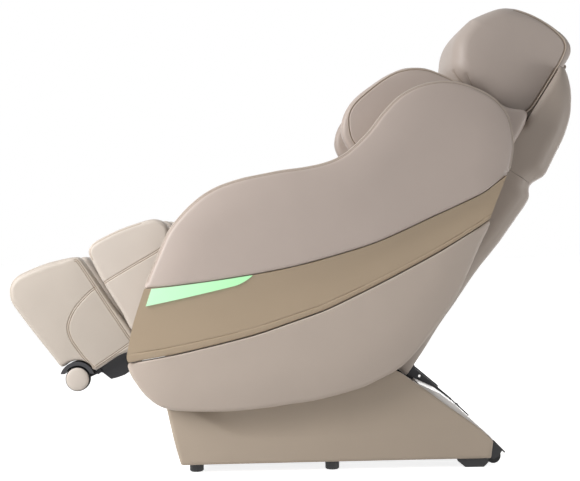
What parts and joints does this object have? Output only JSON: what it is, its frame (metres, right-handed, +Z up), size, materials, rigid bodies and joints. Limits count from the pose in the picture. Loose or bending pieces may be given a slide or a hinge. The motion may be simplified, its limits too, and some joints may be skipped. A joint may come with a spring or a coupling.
{
  "type": "massage chair",
  "caption": "Reclining massage chair: gliding, tilting seat between padded arms, reclining back with moving rollers, raising leg rest with sliding foot rest, covered base.",
  "frame": {"origin": "on the floor under the middle of the chair, at the feet", "axes": "+Z up; the chair faces -Y; the sitter's left side is +X"},
  "size_m": [0.77, 1.5048, 1.1996],
  "materials": {
    "leather_light": "smooth satin upholstery leather, warm light beige",
    "leather_pillow": "smooth satin upholstery leather, taupe",
    "leather_shade": "smooth satin upholstery leather, beige",
    "shell_light": "satin painted moulding, light beige",
    "shell_band": "satin champagne lacquer",
    "shell_lower": "satin painted moulding, beige",
    "shell_back": "fine-grained moulding, grey brown",
    "shell_base": "satin moulding, beige",
    "cover_rear": "satin moulding, off-white",
    "light_strip": "translucent diffuser, pale green",
    "steel_dark": "semi-gloss dark powder coat",
    "steel_bright": "drawn steel",
    "plastic_black": "fine-grained black moulding",
    "plastic_grey": "grey moulding",
    "rubber_black": "black rubber",
    "roller_beige": "beige hub with a dark tread",
    "roller_brown": "brown rubber"
  },
  "bodies": {
    "base": {"base_frame": "steel_dark", "glide_rails": "steel_bright", "base_cover_left": "shell_base", "base_cover_right": "shell_base", "base_front_cover": "shell_base", "base_rear_cover": "cover_rear", "base_feet": "rubber_black", "wheel_forks": "plastic_black", "control_box": "plastic_grey", "air_pump": "plastic_grey", "power_panel": "plastic_black"},
    "power_switch": {"power_switch": "plastic_black"},
    "transport_wheel_left": {"transport_wheel_left": "rubber_black"},
    "transport_wheel_right": {"transport_wheel_right": "rubber_black"},
    "glide": {"glide_carriage": "steel_dark"},
    "seat": {"seat_frame": "steel_dark", "seat_cushion": "leather_light", "arm_core_left": "leather_light", "arm_core_right": "leather_light", "arm_upper_left": "shell_light", "arm_upper_right": "shell_light", "arm_band_left": "shell_band", "arm_band_right": "shell_band", "arm_lower_left": "shell_lower", "arm_lower_right": "shell_lower", "arm_light_left": "light_strip", "arm_light_right": "light_strip", "arm_pad_left": "leather_light", "arm_pad_right": "leather_light", "control_pad": "plastic_black", "leg_actuator": "plastic_grey", "back_actuator": "plastic_grey"},
    "leg_rod": {"leg_actuator_rod": "steel_bright"},
    "back_rod": {"back_actuator_rod": "steel_bright"},
    "back": {"back_frame": "steel_dark", "back_shell_upper": "shell_back", "back_shell_lower": "shell_back", "back_pad": "leather_light", "back_side_left": "leather_light", "back_side_right": "leather_light"},
    "pillow": {"head_pillow": "leather_pillow"},
    "massage_carriage": {"massage_chassis": "steel_bright"},
    "massage_arms": {"massage_arms": "steel_dark"},
    "massage_roller_upper_left": {"massage_roller_upper_left": "roller_brown"},
    "massage_roller_upper_right": {"massage_roller_upper_right": "roller_brown"},
    "massage_roller_lower_left": {"massage_roller_lower_left": "roller_brown"},
    "massage_roller_lower_right": {"massage_roller_lower_right": "roller_brown"},
    "leg": {"leg_frame": "steel_dark", "calf_bed": "leather_light", "calf_wall_left": "leather_light", "calf_wall_right": "leather_light", "calf_divider": "leather_shade"},
    "foot": {"foot_frame": "steel_dark", "foot_bed": "leather_shade", "foot_wall_left": "leather_light", "foot_wall_right": "leather_light", "foot_divider": "leather_shade"},
    "foot_roller_left": {"foot_roller_left": "roller_beige"},
    "foot_roller_right": {"foot_roller_right": "roller_beige"}
  },
  "joints": [
    {"name": "glide_slide", "type": "slide", "parent": "base", "child": "glide", "axis": [0, -1, 0], "range_m": [0, 0.12]},
    {"name": "seat_tilt", "type": "hinge", "parent": "glide", "child": "seat", "pos_m": [0, 0.305, 0.235], "axis": [-1, 0, 0], "range_deg": [-5, 6]},
    {"name": "back_recline", "type": "hinge", "parent": "seat", "child": "back", "pos_m": [0, 0.211, 0.435], "axis": [-1, 0, 0], "range_deg": [-22, 15]},
    {"name": "leg_raise", "type": "hinge", "parent": "seat", "child": "leg", "pos_m": [0, -0.262, 0.465], "axis": [-1, 0, 0], "range_deg": [-32, 20]},
    {"name": "foot_slide", "type": "slide", "parent": "leg", "child": "foot", "axis": [0, -0.8387, -0.5446], "range_m": [0, 0.11]},
    {"name": "massage_travel", "type": "slide", "parent": "back", "child": "massage_carriage", "axis": [0, 0.5446, 0.8387], "range_m": [-0.2, 0.12]},
    {"name": "massage_tap", "type": "hinge", "parent": "massage_carriage", "child": "massage_arms", "pos_m": [0, 0.40707, 0.73692], "axis": [1, 0, 0], "range_deg": [-5, 5]},
    {"name": "massage_spin_upper_left", "type": "hinge", "parent": "massage_arms", "child": "massage_roller_upper_left", "pos_m": [0.06, 0.40431, 0.82814], "axis": [1, 0, 0], "continuous": true},
    {"name": "massage_spin_upper_right", "type": "hinge", "parent": "massage_arms", "child": "massage_roller_upper_right", "pos_m": [-0.06, 0.40431, 0.82814], "axis": [1, 0, 0], "continuous": true},
    {"name": "massage_spin_lower_left", "type": "hinge", "parent": "massage_arms", "child": "massage_roller_lower_left", "pos_m": [0.06, 0.32261, 0.70234], "axis": [1, 0, 0], "continuous": true},
    {"name": "massage_spin_lower_right", "type": "hinge", "parent": "massage_arms", "child": "massage_roller_lower_right", "pos_m": [-0.06, 0.32261, 0.70234], "axis": [1, 0, 0], "continuous": true},
    {"name": "pillow_flip", "type": "hinge", "parent": "back", "child": "pillow", "pos_m": [0, 0.745, 1.05165], "axis": [-1, 0, 0], "range_deg": [0, 75]},
    {"name": "foot_roll_left", "type": "hinge", "parent": "foot", "child": "foot_roller_left", "pos_m": [0.22, -0.57458, 0.23577], "axis": [1, 0, 0], "continuous": true},
    {"name": "foot_roll_right", "type": "hinge", "parent": "foot", "child": "foot_roller_right", "pos_m": [-0.22, -0.57458, 0.23577], "axis": [1, 0, 0], "continuous": true},
    {"name": "wheel_roll_left", "type": "hinge", "parent": "base", "child": "transport_wheel_left", "pos_m": [0.27, 0.504, 0.024], "axis": [1, 0, 0], "continuous": true},
    {"name": "wheel_roll_right", "type": "hinge", "parent": "base", "child": "transport_wheel_right", "pos_m": [-0.27, 0.504, 0.024], "axis": [1, 0, 0], "continuous": true},
    {"name": "switch_rock", "type": "hinge", "parent": "base", "child": "power_switch", "pos_m": [0.029, 0.4525, 0.115], "axis": [1, 0, 0], "range_deg": [0, 12]},
    {"name": "leg_rod_slide", "type": "slide", "parent": "seat", "child": "leg_rod", "axis": [0, -1, 0], "range_m": [-0.0515, 0.0325]},
    {"name": "back_rod_slide", "type": "slide", "parent": "seat", "child": "back_rod", "axis": [0, -1, 0], "range_m": [-0.04, 0.0272]}
  ],
  "couplings": [
    {"joint": "leg_rod_slide", "follows": "leg_raise", "m_per_rad": 0.0914},
    {"joint": "back_rod_slide", "follows": "back_recline", "m_per_rad": 0.1033}
  ]
}
